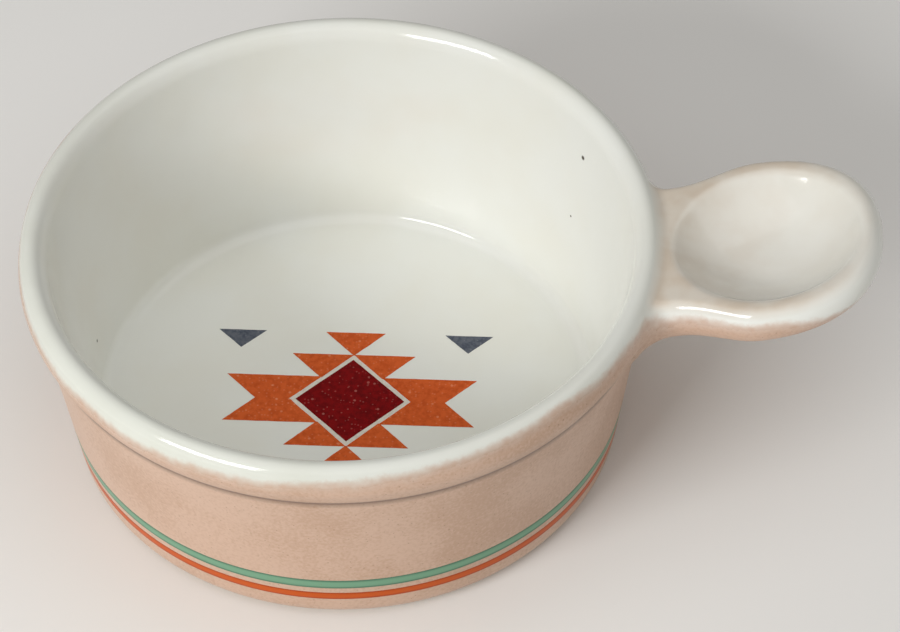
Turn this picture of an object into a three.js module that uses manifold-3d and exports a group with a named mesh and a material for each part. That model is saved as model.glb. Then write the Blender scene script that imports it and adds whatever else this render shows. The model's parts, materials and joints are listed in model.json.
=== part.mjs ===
// Stoneware soup bowl with a dished thumb-rest handle. Millimetres, +Z up, handle towards +X.
// The bowl stands on z = 0, and the origin is the middle of the footprint of bowl and handle.

import * as THREE from 'three';
import { mergeVertices } from 'three/addons/utils/BufferGeometryUtils.js';
import Module from 'manifold-3d';

const wasm = await Module();
wasm.setup();

// Bowl: outside
const rimRadius = 67;            // widest point of the rolled rim
const rimHeight = 55.1;          // crest of the roll above the table, bare clay
const rollWidth = 6;             // the roll, measured across
const rollHeight = 5.2;          // crest of the roll above its widest point
const rollTurn = 5;              // below its widest point the roll turns in with this radius
const rollLean = 26;             // to this lean, degrees, and runs straight into the crease
const undercut = 1.95;           // how far the crease stands back from the widest point
const wallFlare = 0.9;           // how far the top of the wall sweeps out towards the roll
const wallFlareReach = 20;       // and over which height
const baseInset = 8.8;           // rim to wall, where the wall is carried straight down to the table
const heelRadius = 5.5;          // rounding between wall and foot
const footWidth = 4;             // dry foot ring, measured across
const footRecess = 1.2;          // hollow of the base inside the foot ring

// Bowl: inside
const floorThickness = 3.55;     // bare clay, above the hollow of the base
const wallThickness = 4;         // wall at the floor, measured across
const floorFillet = 5;           // rounding between floor and wall
const glazeThickness = 0.25;     // ivory liner glaze
const breakAngle = 36;           // where the glaze breaks off on the roll, degrees above its widest point

// Banded lines round the foot of the wall
const rustBandRise = 1.8;        // from the top of the heel to the rust line
const rustBandWidth = 2.6;
const bandSpacing = 1.6;         // bare wall between the two lines
const tealBandWidth = 3.2;
const bandThickness = 0.2;

// Handle: lengths run from the rim outwards, in the plane of the handle's top
const handleTilt = 11;           // the handle rises outwards, degrees
const handleDrop = 1.4;          // its top below the crest of the rim, where the two meet
const lobeCenter = 19.7;         // widest place of the handle
const lobeLength = 25.1;         // from there to the tip
const lobeHalfWidth = 23.2;
const lobePower = 2.3;           // 2 gives a round tip, more gives it fuller shoulders
const neckPosition = 1;          // narrowest place of the handle
const neckDrawIn = 4.7;          // how much narrower it is there, on each side
const rootFlareRadius = 14;      // the neck flares into the rim with this radius
const rootFlareReach = 8;        // and over this length
const rootThickness = 10.4;      // thickness of the handle along its rounded edge, at the rim
const tipThickness = 7.4;        // and at the tip
const edgeRounding = 3;          // depth of the rounding of that edge
const lutingGap = 0.3;           // room for the slip between handle and bowl
const bellyRoot = 4;             // the bulge of the underside starts this far inside the rim
const bellyLand = 0.8;           // and leaves this flat beside it, where the neck is narrowest

// Thumb rest: the dish in the top of the handle
const dishStart = 1.7;           // from the rim to the edge of the dish
const tipLand = 0.6;             // flat of the lip between dish and rounded edge, at the tip
const sideLand = 1.6;            // and at the sides
const dishDepth = 8.4;
const dishPower = 2.6;           // 2 gives a round bowl, more gives a flatter bottom and steeper sides
const lugThickness = 4.6;        // clay between the bottom of the dish and the lowest line of the underside
const poolThickness = 0.4;       // glaze pooled in the dish

// Floor motif, drawn on a square grid like a woven pattern
const motifStep = 6.56;          // one step of the grid
const motifX = 0.6;              // centre of the hand-placed motif, from the bowl's axis
const motifY = -2.4;
const borderWidth = 1;           // pale border of the diamond
const printThickness = 0.2;
const printGap = 0.2;            // bare glaze between two colours
const diamondSteps = 2;          // centre of the diamond to its points, in steps of the grid
const barSteps = 2.15;           // points of the diamond to the tips of the bars
const wingFootSteps = 0.05;      // width of a wing where it stands on a bar
const capSteps = 1;              // depth of the triangles on the points
const outlierSteps = 3.8;        // centre to each small blue triangle, along the bars
const outlierHalfSteps = 0.8;    // half the flat side of a blue triangle
const outlierDepthSteps = 0.75;  // its depth

// Facets
const turns = 72;                // round the bowl
const heelFacets = 5;
const sweepFacets = 4;
const filletFacets = 5;
const rollTopFacets = 9;
const rollTurnFacets = 3;
const rollShoulderFacets = 3;
const flareFacets = 4;
const waistFacets = 6;
const lobeFacets = 10;           // each quarter of the lobe
const rootFacets = 7;            // across the handle's root
const edgeFacets = 6;            // over its rounded edge
const ovalShares = [0.25, 0.5, 0.7, 0.85, 0.95, 1];   // rings of dish and belly, middle to edge

const radians = THREE.MathUtils.degToRad;

const finishes = {
  stoneware: new THREE.MeshStandardMaterial({ color: 0xd0ab8f, roughness: 0.5, metalness: 0 }),
  ivory: new THREE.MeshStandardMaterial({ color: 0xe9e7da, roughness: 0.12, metalness: 0 }),
  teal: new THREE.MeshStandardMaterial({ color: 0x84a38a, roughness: 0.4, metalness: 0 }),
  rust: new THREE.MeshStandardMaterial({ color: 0xb8571e, roughness: 0.4, metalness: 0 }),
  orange: new THREE.MeshStandardMaterial({ color: 0xbb5630, roughness: 0.3, metalness: 0 }),
  red: new THREE.MeshStandardMaterial({ color: 0x720a10, roughness: 0.3, metalness: 0 }),
  pale: new THREE.MeshStandardMaterial({ color: 0xe4dccf, roughness: 0.3, metalness: 0 }),
  blue: new THREE.MeshStandardMaterial({ color: 0x4a5064, roughness: 0.3, metalness: 0 }),
};

// Closed geometry: shared vertices merged, triangles without area left out
function closed(geometry) {
  geometry.deleteAttribute('normal');
  geometry.deleteAttribute('uv');
  const merged = mergeVertices(geometry);
  const corners = merged.index.array;
  const kept = [];
  for (let i = 0; i < corners.length; i += 3) {
    const [a, b, c] = corners.subarray(i, i + 3);
    if (a !== b && b !== c && c !== a) kept.push(a, b, c);
  }
  merged.setIndex(kept);
  return merged;
}

function toManifold(geometry) {
  return new wasm.Manifold(new wasm.Mesh({
    numProp: 3,
    vertProperties: new Float32Array(geometry.attributes.position.array),
    triVerts: new Uint32Array(geometry.index.array),
  }));
}

function fromManifold(solid) {
  const mesh = solid.getMesh();
  const geometry = new THREE.BufferGeometry();
  geometry.setAttribute('position', new THREE.BufferAttribute(mesh.vertProperties, 3));
  geometry.setIndex(new THREE.BufferAttribute(mesh.triVerts, 1));
  return geometry;
}

function piece(name, geometry, finish) {
  geometry.computeVertexNormals();
  const mesh = new THREE.Mesh(geometry, finish);
  mesh.name = name;
  return mesh;
}

// A profile of [radius, height] points turned round the bowl's axis
function revolve(profile) {
  const points = profile.map(([radius, height]) => new THREE.Vector2(radius, height));
  return closed(new THREE.LatheGeometry(points, turns).rotateX(Math.PI / 2));
}

function arc(center, radii, from, to, steps) {
  const points = [];
  for (let i = 0; i <= steps; i++) {
    const angle = from + (to - from) * i / steps;
    points.push([center[0] + radii[0] * Math.cos(angle), center[1] + radii[1] * Math.sin(angle)]);
  }
  return points;
}

// Profile of the bowl: a roll with an elliptical crest, and a tapered wall that sweeps out a little below it
const rollRadii = [rollWidth / 2, rollHeight];
const rollCenter = [rimRadius - rollRadii[0], rimHeight - rollRadii[1]];
const baseRadius = rimRadius - baseInset;
const floorHeight = footRecess + floorThickness;
const floorTop = floorHeight + glazeThickness;

function rollArc(from, to, steps, skin) {
  return arc(rollCenter, rollRadii.map((radius) => radius + skin), from, to, steps);
}

// Underside of the roll, with a skin on it, from the crease up to the widest point
function rollUnder(skin) {
  const center = [rimRadius - rollTurn, rollCenter[1]];
  const radius = rollTurn + skin;
  const turn = arc(center, [radius, radius], -radians(rollLean), 0, rollTurnFacets);
  const creaseRadius = rimRadius - undercut + skin;
  const drop = (turn[0][0] - creaseRadius) / Math.tan(radians(rollLean));
  return [[creaseRadius, turn[0][1] - drop], ...turn];
}

const wallTop = rollUnder(0)[0];
const wallLean = Math.atan2(wallTop[0] - wallFlare - baseRadius, wallTop[1]);

function wallRadius(height) {
  const sweep = Math.max(0, 1 - (wallTop[1] - height) / wallFlareReach);
  return baseRadius + height * Math.tan(wallLean) + wallFlare * sweep * sweep;
}

// The swept part of the wall, with a skin on it, up to just below the roll
function sweptWall(skin) {
  const points = [];
  for (let i = 0; i < sweepFacets; i++) {
    const height = wallTop[1] - wallFlareReach * (1 - i / sweepFacets);
    points.push([wallRadius(height) + skin, height]);
  }
  return points;
}

// Foot, heel and wall, from the middle of the base up to the underside of the roll
function outerProfile() {
  const heelCenter = [wallRadius(heelRadius) - heelRadius / Math.cos(wallLean), heelRadius];
  const footInside = heelCenter[0] - footWidth;
  return [
    [0, footRecess],
    [footInside - footRecess, footRecess],
    [footInside, 0],
    ...arc(heelCenter, [heelRadius, heelRadius], -Math.PI / 2, -wallLean, heelFacets),
    ...sweptWall(0),
  ];
}

// Floor, fillet, inside wall and crest of the roll, from the axis out to where the glaze breaks off
function innerProfile(skin) {
  const floor = floorHeight + skin;
  const corner = [wallRadius(floorHeight) - wallThickness - skin, floor];
  const toward = [
    (corner[0] - rollCenter[0]) / (rollRadii[0] + skin),
    (corner[1] - rollCenter[1]) / (rollRadii[1] + skin),
  ];
  const away = Math.hypot(...toward);
  const tangent = 2 * Math.PI + Math.atan2(toward[1], toward[0]) - Math.acos(1 / away);
  const crest = rollArc(tangent, radians(breakAngle), rollTopFacets, skin);
  const lean = Math.atan2(crest[0][0] - corner[0], crest[0][1] - corner[1]);
  const fillet = floorFillet - skin;
  const filletCenter = [corner[0] + fillet * Math.tan(lean) - fillet / Math.cos(lean), floor + fillet];
  const corners = arc(filletCenter, [fillet, fillet], -Math.PI / 2, -lean, filletFacets);
  return [[0, floor], ...corners, ...crest];
}

function bowlBody() {
  const shoulder = rollArc(0, radians(breakAngle), rollShoulderFacets, 0);
  const inside = innerProfile(0).reverse();
  return revolve([...outerProfile(), ...rollUnder(0), ...shoulder.slice(1), ...inside.slice(1)]);
}

function linerGlaze() {
  return revolve([...innerProfile(0), ...innerProfile(glazeThickness).reverse()]);
}

const rustBandBottom = heelRadius + rustBandRise;
const tealBandBottom = rustBandBottom + rustBandWidth + bandSpacing;

function band(bottom, width) {
  const top = bottom + width;
  return revolve([
    [wallRadius(bottom), bottom],
    [wallRadius(bottom) + bandThickness, bottom],
    [wallRadius(top) + bandThickness, top],
    [wallRadius(top), top],
    [wallRadius(bottom), bottom],
  ]);
}

// The bowl filled solid, with a skin all over its outside, to cut the handle's root to shape
function filledBowl(skin) {
  const wall = [wallRadius(heelRadius) + skin, heelRadius];
  const roll = [...rollUnder(skin), ...rollArc(0, Math.PI / 2, rollTopFacets, skin).slice(1)];
  return revolve([[0, heelRadius], wall, ...sweptWall(skin), ...roll, [0, rimHeight + skin]]);
}

// Sizes of the handle that follow from the ones above
const neckHalfWidth = lobeHalfWidth - neckDrawIn;
const handleTip = lobeCenter + lobeLength;
const rootDepth = 2 * rootFlareReach;
const dishEnd = handleTip - edgeRounding - tipLand;
const dish = oval(dishStart, dishEnd, lobeHalfWidth - edgeRounding - sideLand);
const belly = oval(-bellyRoot, dishEnd, neckHalfWidth - edgeRounding - bellyLand);
const bellyDepth = dishDepth + lugThickness - edgeThickness(belly.center);

function oval(start, end, halfWidth) {
  return { center: (start + end) / 2, halfLength: (end - start) / 2, halfWidth };
}

// Thickness of the handle along its rounded edge, which tapers from the rim to the tip
function edgeThickness(along) {
  return THREE.MathUtils.lerp(rootThickness, tipThickness, along / handleTip);
}

// Half the width of the handle: flared root, waist at the neck, full round lobe
function handleHalfWidth(along) {
  if (along >= lobeCenter) {
    const reach = (along - lobeCenter) / lobeLength;
    return lobeHalfWidth * Math.max(0, 1 - reach ** lobePower) ** (1 / lobePower);
  }
  if (along >= neckPosition) {
    const share = (along - neckPosition) / (lobeCenter - neckPosition);
    return THREE.MathUtils.lerp(neckHalfWidth, lobeHalfWidth, 0.5 - 0.5 * Math.cos(Math.PI * share));
  }
  const inward = Math.min(neckPosition - along, rootFlareReach);
  return neckHalfWidth + rootFlareRadius - Math.sqrt(rootFlareRadius ** 2 - inward ** 2);
}

// Steps from one length to another, without the last
function stations(from, to, steps) {
  return Array.from({ length: steps }, (_, i) => THREE.MathUtils.lerp(from, to, i / steps));
}

// Outline of the handle from above, once round: out along one side, round the tip, back, across the root
function handleOutline() {
  const flareStart = neckPosition - rootFlareReach;
  const lengths = [
    ...stations(-rootDepth, flareStart, 2),
    ...stations(flareStart, neckPosition, flareFacets),
    ...stations(neckPosition, lobeCenter, waistFacets),
    ...stations(0, Math.PI / 2, lobeFacets).map((angle) => lobeCenter + lobeLength * Math.sin(angle)),
  ];
  const side = lengths.map((along) => new THREE.Vector2(along, -handleHalfWidth(along)));
  const tip = new THREE.Vector2(handleTip, 0);
  const otherSide = side.map((point) => new THREE.Vector2(point.x, -point.y)).reverse();
  const corner = otherSide.at(-1);
  const across = stations(corner.y, -corner.y, rootFacets).slice(1);
  return [...side, tip, ...otherSide, ...across.map((y) => new THREE.Vector2(corner.x, y))];
}

// Unit vector that points into the outline at one of its points
function inwardNormal(outline, i) {
  const before = outline.at(i - 1);
  const after = outline[(i + 1) % outline.length];
  const along = after.clone().sub(before).normalize();
  return new THREE.Vector2(-along.y, along.x);
}

function inset(outline, distance) {
  return outline.map((point, i) => point.clone().addScaledVector(inwardNormal(outline, i), distance));
}

function ring(outline, heightAt) {
  return outline.map((point) => new THREE.Vector3(point.x, point.y, heightAt(point.x)));
}

// A skin over a row of closed rings, with a point at each end
function loft(start, rings, end) {
  const count = rings[0].length;
  const points = [start, ...rings.flat(), end];
  const positions = points.flatMap((point) => point.toArray());
  const last = points.length - 1;
  const faces = [];
  for (let i = 0; i < count; i++) {
    const next = (i + 1) % count;
    faces.push(0, 1 + i, 1 + next);
    for (let k = 0; k + 1 < rings.length; k++) {
      const near = 1 + k * count;
      const far = near + count;
      faces.push(near + i, far + i, near + next, near + next, far + i, far + next);
    }
    faces.push(last - count + i, last, last - count + next);
  }
  const geometry = new THREE.BufferGeometry();
  geometry.setAttribute('position', new THREE.Float32BufferAttribute(positions, 3));
  geometry.setIndex(faces);
  return closed(geometry);
}

// Rings of an oval from near its middle out to its edge, matched to the points of the handle's crest
function ovalRings(crest, { center, halfLength, halfWidth }, heightAt) {
  return ovalShares.map((share) => crest.map((point) => {
    const angle = Math.atan2(point.y / halfWidth, (point.x - center) / halfLength);
    const along = center + share * halfLength * Math.cos(angle);
    return new THREE.Vector3(along, share * halfWidth * Math.sin(angle), heightAt(share, along));
  }));
}

function dishRings(crest, depth) {
  return ovalRings(crest, dish, (share) => -depth * (1 - share ** dishPower));
}

function dishMiddle(depth) {
  return new THREE.Vector3(dish.center, 0, -depth);
}

// Rounded edge of the handle, from the crest of its lip down to the rim of its underside
function edgeRings(outline) {
  const rings = [];
  for (let i = 0; i <= edgeFacets; i++) {
    const angle = Math.PI * (0.5 - i / edgeFacets);
    const depth = (1 - Math.sin(angle)) / 2;
    const edge = inset(outline, edgeRounding * (1 - Math.cos(angle)));
    rings.push(ring(edge, (along) => -depth * edgeThickness(along)));
  }
  return rings;
}

// Underside of the handle, which bulges from under the rim to the tip and runs out flat at its edge
function bellyHeight(share, along) {
  return -edgeThickness(along) - bellyDepth * (1 - share ** 2) ** 2;
}

// The lug: dish, lip, rounded edge and belly, cut at its root to fit round the rim
function handle(placement) {
  const outline = handleOutline();
  const crest = inset(outline, edgeRounding);
  const underside = ovalRings(crest, belly, bellyHeight).reverse();
  const rings = [...dishRings(crest, dishDepth), ...edgeRings(outline), ...underside];
  const under = new THREE.Vector3(belly.center, 0, bellyHeight(0, belly.center));
  const lug = loft(dishMiddle(dishDepth), rings, under);
  const bowl = filledBowl(glazeThickness + lutingGap).applyMatrix4(placement.clone().invert());
  return fromManifold(toManifold(lug).subtract(toManifold(bowl)));
}

function thumbRestGlaze() {
  const crest = inset(handleOutline(), edgeRounding);
  const surface = dishRings(crest, dishDepth - poolThickness);
  const bed = dishRings(crest, dishDepth).slice(0, -1).reverse();
  return loft(dishMiddle(dishDepth - poolThickness), [...surface, ...bed], dishMiddle(dishDepth));
}

// An outline of the motif with every side moved in by a distance
function insetSides(points, distance) {
  const turn = Math.sign(THREE.ShapeUtils.area(points));
  const sides = points.map((point, i) => {
    const along = points[(i + 1) % points.length].clone().sub(point).normalize();
    const inward = new THREE.Vector2(-along.y, along.x).multiplyScalar(turn * distance);
    return { start: point.clone().add(inward), along };
  });
  return sides.map((side, i) => {
    const before = sides.at(i - 1);
    const across = side.start.clone().sub(before.start);
    const reach = across.cross(side.along) / before.along.cross(side.along);
    return before.start.clone().addScaledVector(before.along, reach);
  });
}

function gridPoints(corners, xSign, ySign) {
  return corners.map(([x, y]) => new THREE.Vector2(x * xSign * motifStep, y * ySign * motifStep));
}

function diamondPoints(reach) {
  return [[reach, 0], [0, reach], [-reach, 0], [0, -reach]].map(([x, y]) => new THREE.Vector2(x, y));
}

function print(shape) {
  return closed(new THREE.ExtrudeGeometry(shape, { depth: printThickness, bevelEnabled: false }));
}

function patch(corners, xSign, ySign) {
  return print(new THREE.Shape(insetSides(gridPoints(corners, xSign, ySign), printGap / 2)));
}

const diamondReach = diamondSteps * motifStep;
const innerReach = diamondReach - borderWidth * Math.SQRT2;

function diamondBorder() {
  const shape = new THREE.Shape(insetSides(diamondPoints(diamondReach), printGap / 2));
  shape.holes.push(new THREE.Path(insetSides(diamondPoints(innerReach), -printGap / 2)));
  return print(shape);
}

function centerDiamond() {
  return print(new THREE.Shape(insetSides(diamondPoints(innerReach), printGap / 2)));
}

// Stepped figure round the diamond: every slanted side lies at 45 degrees to the grid
const barHalf = diamondSteps / 2;
const barTip = diamondSteps + barSteps;
const wingFoot = barHalf + wingFootSteps;
const capTop = diamondSteps + capSteps;
const barCorners = [
  [barHalf, barHalf], [barTip, barHalf], [barTip - barHalf, 0],
  [barTip, -barHalf], [barHalf, -barHalf], [diamondSteps, 0],
];
const wingCorners = [
  [0, diamondSteps], [wingFoot + barHalf, diamondSteps], [wingFoot, barHalf], [barHalf, barHalf],
];
const capCorners = [[0, diamondSteps], [capSteps, capTop], [-capSteps, capTop]];
const outlierCorners = [
  [outlierSteps - outlierHalfSteps, capTop],
  [outlierSteps, capTop - outlierDepthSteps],
  [outlierSteps + outlierHalfSteps, capTop],
];

function floorMotif() {
  const motif = new THREE.Group();
  motif.position.set(motifX, motifY, floorTop);
  motif.add(piece('center_diamond', centerDiamond(), finishes.red));
  motif.add(piece('diamond_border', diamondBorder(), finishes.pale));
  const sides = [['left', -1], ['right', 1]];
  const ends = [['upper', 1], ['lower', -1]];
  for (const [side, xSign] of sides) {
    motif.add(piece(`${side}_bar`, patch(barCorners, xSign, 1), finishes.orange));
    for (const [end, ySign] of ends) {
      motif.add(piece(`${end}_${side}_wing`, patch(wingCorners, xSign, ySign), finishes.orange));
      motif.add(piece(`${end}_${side}_blue_triangle`, patch(outlierCorners, xSign, ySign), finishes.blue));
    }
  }
  for (const [end, ySign] of ends) {
    motif.add(piece(`${end}_cap_triangle`, patch(capCorners, 1, ySign), finishes.orange));
  }
  return motif;
}

function thumbRestHandle() {
  const lug = new THREE.Group();
  lug.position.set(rimRadius, 0, rimHeight - handleDrop);
  lug.rotation.y = -radians(handleTilt);
  lug.updateMatrix();
  lug.add(piece('handle', handle(lug.matrix), finishes.stoneware));
  lug.add(piece('thumb_rest_glaze', thumbRestGlaze(), finishes.ivory));
  return lug;
}

const soupBowl = new THREE.Group();
soupBowl.add(piece('bowl_body', bowlBody(), finishes.stoneware));
soupBowl.add(piece('liner_glaze', linerGlaze(), finishes.ivory));
soupBowl.add(piece('rust_band', band(rustBandBottom, rustBandWidth), finishes.rust));
soupBowl.add(piece('teal_band', band(tealBandBottom, tealBandWidth), finishes.teal));
soupBowl.add(thumbRestHandle());
soupBowl.add(floorMotif());

// The origin moves from the bowl's axis to the middle of the whole footprint
const footprint = new THREE.Box3().setFromObject(soupBowl, true);
soupBowl.position.x = -(footprint.min.x + footprint.max.x) / 2;

export default soupBowl;
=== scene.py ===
# %% [markdown]
# # A stoneware soup bowl with a thumb-rest handle
#
# A pottery makes this bowl in a few steps. The bowl is turned on a wheel, the handle is pressed in a
# mould and stuck to the rim with slip, ivory glaze is poured inside, two lines are banded round the foot,
# and a stepped diamond is printed on the floor. The lesson follows the same order. Everything is in
# metres, in the frame of the construction model, which is loaded first and never moved.

# %% Load the construction model
import json
import math

import bmesh
import bpy
import numpy as np
from mathutils import Matrix, Quaternion, Vector


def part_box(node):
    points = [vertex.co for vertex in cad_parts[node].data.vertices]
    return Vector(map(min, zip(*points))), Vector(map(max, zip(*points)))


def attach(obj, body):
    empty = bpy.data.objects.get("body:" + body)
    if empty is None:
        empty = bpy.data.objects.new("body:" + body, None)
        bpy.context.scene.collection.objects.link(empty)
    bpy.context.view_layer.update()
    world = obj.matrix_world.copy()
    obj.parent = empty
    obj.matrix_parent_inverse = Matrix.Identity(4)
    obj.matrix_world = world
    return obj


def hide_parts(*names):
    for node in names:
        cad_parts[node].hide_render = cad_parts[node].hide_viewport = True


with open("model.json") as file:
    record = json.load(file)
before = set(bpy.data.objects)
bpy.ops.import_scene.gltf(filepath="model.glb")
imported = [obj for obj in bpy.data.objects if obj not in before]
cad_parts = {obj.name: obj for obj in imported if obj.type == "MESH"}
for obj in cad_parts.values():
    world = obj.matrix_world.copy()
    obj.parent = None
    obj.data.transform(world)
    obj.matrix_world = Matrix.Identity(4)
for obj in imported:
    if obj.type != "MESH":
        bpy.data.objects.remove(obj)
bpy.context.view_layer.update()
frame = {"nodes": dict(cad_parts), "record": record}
MM = 0.001
bowl_low, bowl_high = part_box("bowl_body")
axis_x = (bowl_low.x + bowl_high.x) / 2
print(f"{len(frame['nodes'])} nodes, the bowl's axis stands at x = {axis_x / MM:.2f} mm")

# %% [markdown]
# ## Camera
#
# The photograph looks down into the bowl from the front. The camera is placed on a sphere round the
# middle of the foot, and then turned until that point falls on the same pixel as in the photograph, so no
# lens shift is needed. A long lens close to what a product photographer uses keeps the circles nearly
# elliptical.

# %% Place the camera
PHOTO_WIDTH, PHOTO_HEIGHT = 900, 632
FOCAL_PIXELS = 3686.4
FOOT_PIXEL = (348.6, 407.2)
CAMERA_AZIMUTH = math.radians(6.03)
CAMERA_ELEVATION = math.radians(48.43)
CAMERA_ROLL = math.radians(-2.71)
CAMERA_DISTANCE = 804 * MM
SENSOR = 36.0


def direction(azimuth, elevation):
    """Unit vector from the object towards a place round it: azimuth 0 is in front, at -Y."""
    flat = math.cos(elevation)
    return Vector((math.sin(azimuth) * flat, -math.cos(azimuth) * flat, math.sin(elevation)))


def place_camera():
    camera = bpy.data.objects.new("camera", bpy.data.cameras.new("camera"))
    bpy.context.scene.collection.objects.link(camera)
    camera.data.sensor_width = SENSOR
    camera.data.lens = FOCAL_PIXELS * SENSOR / PHOTO_WIDTH
    towards = direction(CAMERA_AZIMUTH, CAMERA_ELEVATION)
    foot = Vector((axis_x, 0, 0))
    across = (FOOT_PIXEL[0] - PHOTO_WIDTH / 2) / FOCAL_PIXELS
    down = (FOOT_PIXEL[1] - PHOTO_HEIGHT / 2) / FOCAL_PIXELS
    aim = Vector((0, 0, -1)).rotation_difference(Vector((across, -down, -1)))
    roll = Quaternion((0, 0, 1), CAMERA_ROLL)
    turn = (-towards).to_track_quat("-Z", "Y") @ roll @ aim.inverted()
    camera.matrix_world = Matrix.Translation(foot + towards * CAMERA_DISTANCE) @ turn.to_matrix().to_4x4()
    bpy.context.scene.camera = camera
    return camera


camera = place_camera()
print(f"the lens is {camera.data.lens:.1f} mm long")

# %% [markdown]
# ## Writing node trees as Python
#
# A material or a Geometry Nodes tree is easier to read as a formula than as a list of links. `Wire`
# stands for one output socket, and Python's operators on it add Math nodes. `Tree.node` adds any other
# node: its settings come first, because some of them change which sockets the node has, and then the
# values or links of its inputs.

# %% Wires and trees
class Wire:
    """One output socket of a node, on which Python's operators add Math nodes."""

    def __init__(self, tree, socket):
        self.tree = tree
        self.socket = socket

    def other(self, name):
        return Wire(self.tree, self.socket.node.outputs[name])

    def math(self, operation, *values):
        return self.tree.node("ShaderNodeMath", {"operation": operation}, dict(enumerate(values)))

    def __add__(self, value):
        return self.math("ADD", self, value)

    def __sub__(self, value):
        return self.math("SUBTRACT", self, value)

    def __rsub__(self, value):
        return self.math("SUBTRACT", value, self)

    def __mul__(self, value):
        return self.math("MULTIPLY", self, value)

    def __truediv__(self, value):
        return self.math("DIVIDE", self, value)

    def __lt__(self, value):
        return self.math("LESS_THAN", self, value)

    def __abs__(self):
        return self.math("ABSOLUTE", self)

    __radd__ = __add__
    __rmul__ = __mul__


class Tree:
    """A node tree that grows by one node for each call."""

    def __init__(self, tree):
        self.tree = tree

    def node(self, kind, settings=None, inputs=None, output=0):
        node = self.tree.nodes.new(kind)
        for name, value in (settings or {}).items():
            setattr(node, name, value)
        for key, value in (inputs or {}).items():
            self.feed(self.find(node.inputs, key), value)
        return Wire(self, self.find(node.outputs, output)) if node.outputs else node

    def find(self, sockets, key):
        if isinstance(key, int):
            return sockets[key]
        return next(socket for socket in sockets if socket.name == key and socket.enabled)

    def feed(self, socket, value):
        if isinstance(value, Wire):
            self.tree.links.new(value.socket, socket)
        else:
            socket.default_value = value


print("wires and trees are ready")

# %% [markdown]
# ## Lathe tree
#
# Bowl and bands are turned, so one Geometry Nodes tree makes them all. It takes a profile, a row of
# points in the XZ plane, and lays a grid over it: one row of the grid for each point, one column for each
# step round the axis. A hand-banded line is never quite level, so the tree can also let the profile waver
# up and down the wall as it goes round. Numbers that ride on the profile's points are carried over to the
# turned mesh, where the materials read them.

# %% Build the lathe tree
CLOSE_TOGETHER = 1e-6
WAVER_WAVES = 1.3


def add_inputs(group, sockets):
    """Adds a tree's named inputs and its one output, and returns each input's identifier."""
    group.interface.new_socket("Geometry", in_out="OUTPUT", socket_type="NodeSocketGeometry")
    identifiers = {}
    for name, kind in sockets.items():
        socket = group.interface.new_socket(name, in_out="INPUT", socket_type=f"NodeSocket{kind}")
        identifiers[name] = socket.identifier
    return identifiers


def end_tree(tree, geometry, material):
    coated = tree.node("GeometryNodeSetMaterial", None, {"Geometry": geometry, "Material": material})
    whole = tree.node("GeometryNodeRealizeInstances", None, {"Geometry": coated})
    tree.node("NodeGroupOutput", None, {"Geometry": whole})


def lathe_tree(carried):
    group = bpy.data.node_groups.new("lathe", "GeometryNodeTree")
    identifiers = add_inputs(group, {
        "Profile": "Geometry", "Steps round": "Int", "Axis": "Vector", "Waver": "Float",
        "Lean": "Float", "Seed": "Float", "Material": "Material",
    })
    tree = Tree(group)
    given = tree.node("NodeGroupInput")
    profile = given.other("Profile")
    rows = tree.node("GeometryNodeAttributeDomainSize", {"component": "MESH"}, {"Geometry": profile})
    columns = given.other("Steps round") + 1
    grid = tree.node("GeometryNodeMeshGrid", None, {
        "Size X": 1.0, "Size Y": 1.0, "Vertices X": columns, "Vertices Y": rows,
    })
    place = tree.node("ShaderNodeSeparateXYZ", None, {0: tree.node("GeometryNodeInputPosition")})
    turn = (place.other("X") + 0.5) * math.tau
    row = tree.node("FunctionNodeFloatToInt", {"rounding_mode": "ROUND"}, {
        0: (place.other("Y") + 0.5) * (rows - 1),
    })

    def on_profile(kind, value):
        return tree.node("GeometryNodeSampleIndex", {"data_type": kind, "domain": "POINT"}, {
            "Geometry": profile, "Value": value, "Index": row,
        })

    turned = grid
    for name in carried:
        value = tree.node("GeometryNodeInputNamedAttribute", {"data_type": "FLOAT"}, {"Name": name})
        turned = tree.node("GeometryNodeStoreNamedAttribute", {"data_type": "FLOAT", "domain": "POINT"}, {
            "Geometry": turned, "Name": name, "Value": on_profile("FLOAT", value),
        })
    heading = tree.node("ShaderNodeCombineXYZ", None, {
        0: turn.math("COSINE", turn), 1: turn.math("SINE", turn), 2: given.other("Seed"),
    })
    wave = tree.node("ShaderNodeTexNoise", None, {"Vector": heading, "Scale": WAVER_WAVES, "Detail": 1.0})
    rise = (wave - 0.5) * given.other("Waver")
    slide = tree.node("ShaderNodeCombineXYZ", None, {0: rise * given.other("Lean"), 2: rise})
    point = tree.node("ShaderNodeVectorMath", {"operation": "ADD"}, {
        0: on_profile("FLOAT_VECTOR", tree.node("GeometryNodeInputPosition")), 1: slide,
    })
    swung = tree.node("ShaderNodeVectorRotate", {"rotation_type": "Z_AXIS"}, {"Vector": point, "Angle": turn})
    placed = tree.node("ShaderNodeVectorMath", {"operation": "ADD"}, {0: swung, 1: given.other("Axis")})
    moved = tree.node("GeometryNodeSetPosition", None, {"Geometry": turned, "Position": placed})
    welded = tree.node("GeometryNodeMergeByDistance", None, {"Geometry": moved, "Distance": CLOSE_TOGETHER})
    smooth = tree.node("GeometryNodeSetShadeSmooth", None, {"Geometry": welded})
    end_tree(tree, smooth, given.other("Material"))
    return group, identifiers


CARRIED = ("cover", "crest", "pool", "bare", "across")
LATHE, LATHE_INPUTS = lathe_tree(CARRIED)
print(f"the lathe tree has {len(LATHE.nodes)} nodes")

# %% [markdown]
# A tree only shows its result through a modifier. These helpers set the modifier's inputs by their
# identifiers, turn the evaluated object into a plain mesh, take the modifier away and point all faces
# outwards.

# %% Turn a tree's result into a plain piece
def new_object(name, mesh):
    piece = bpy.data.objects.new(name, mesh)
    bpy.context.scene.collection.objects.link(piece)
    return piece


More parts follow.
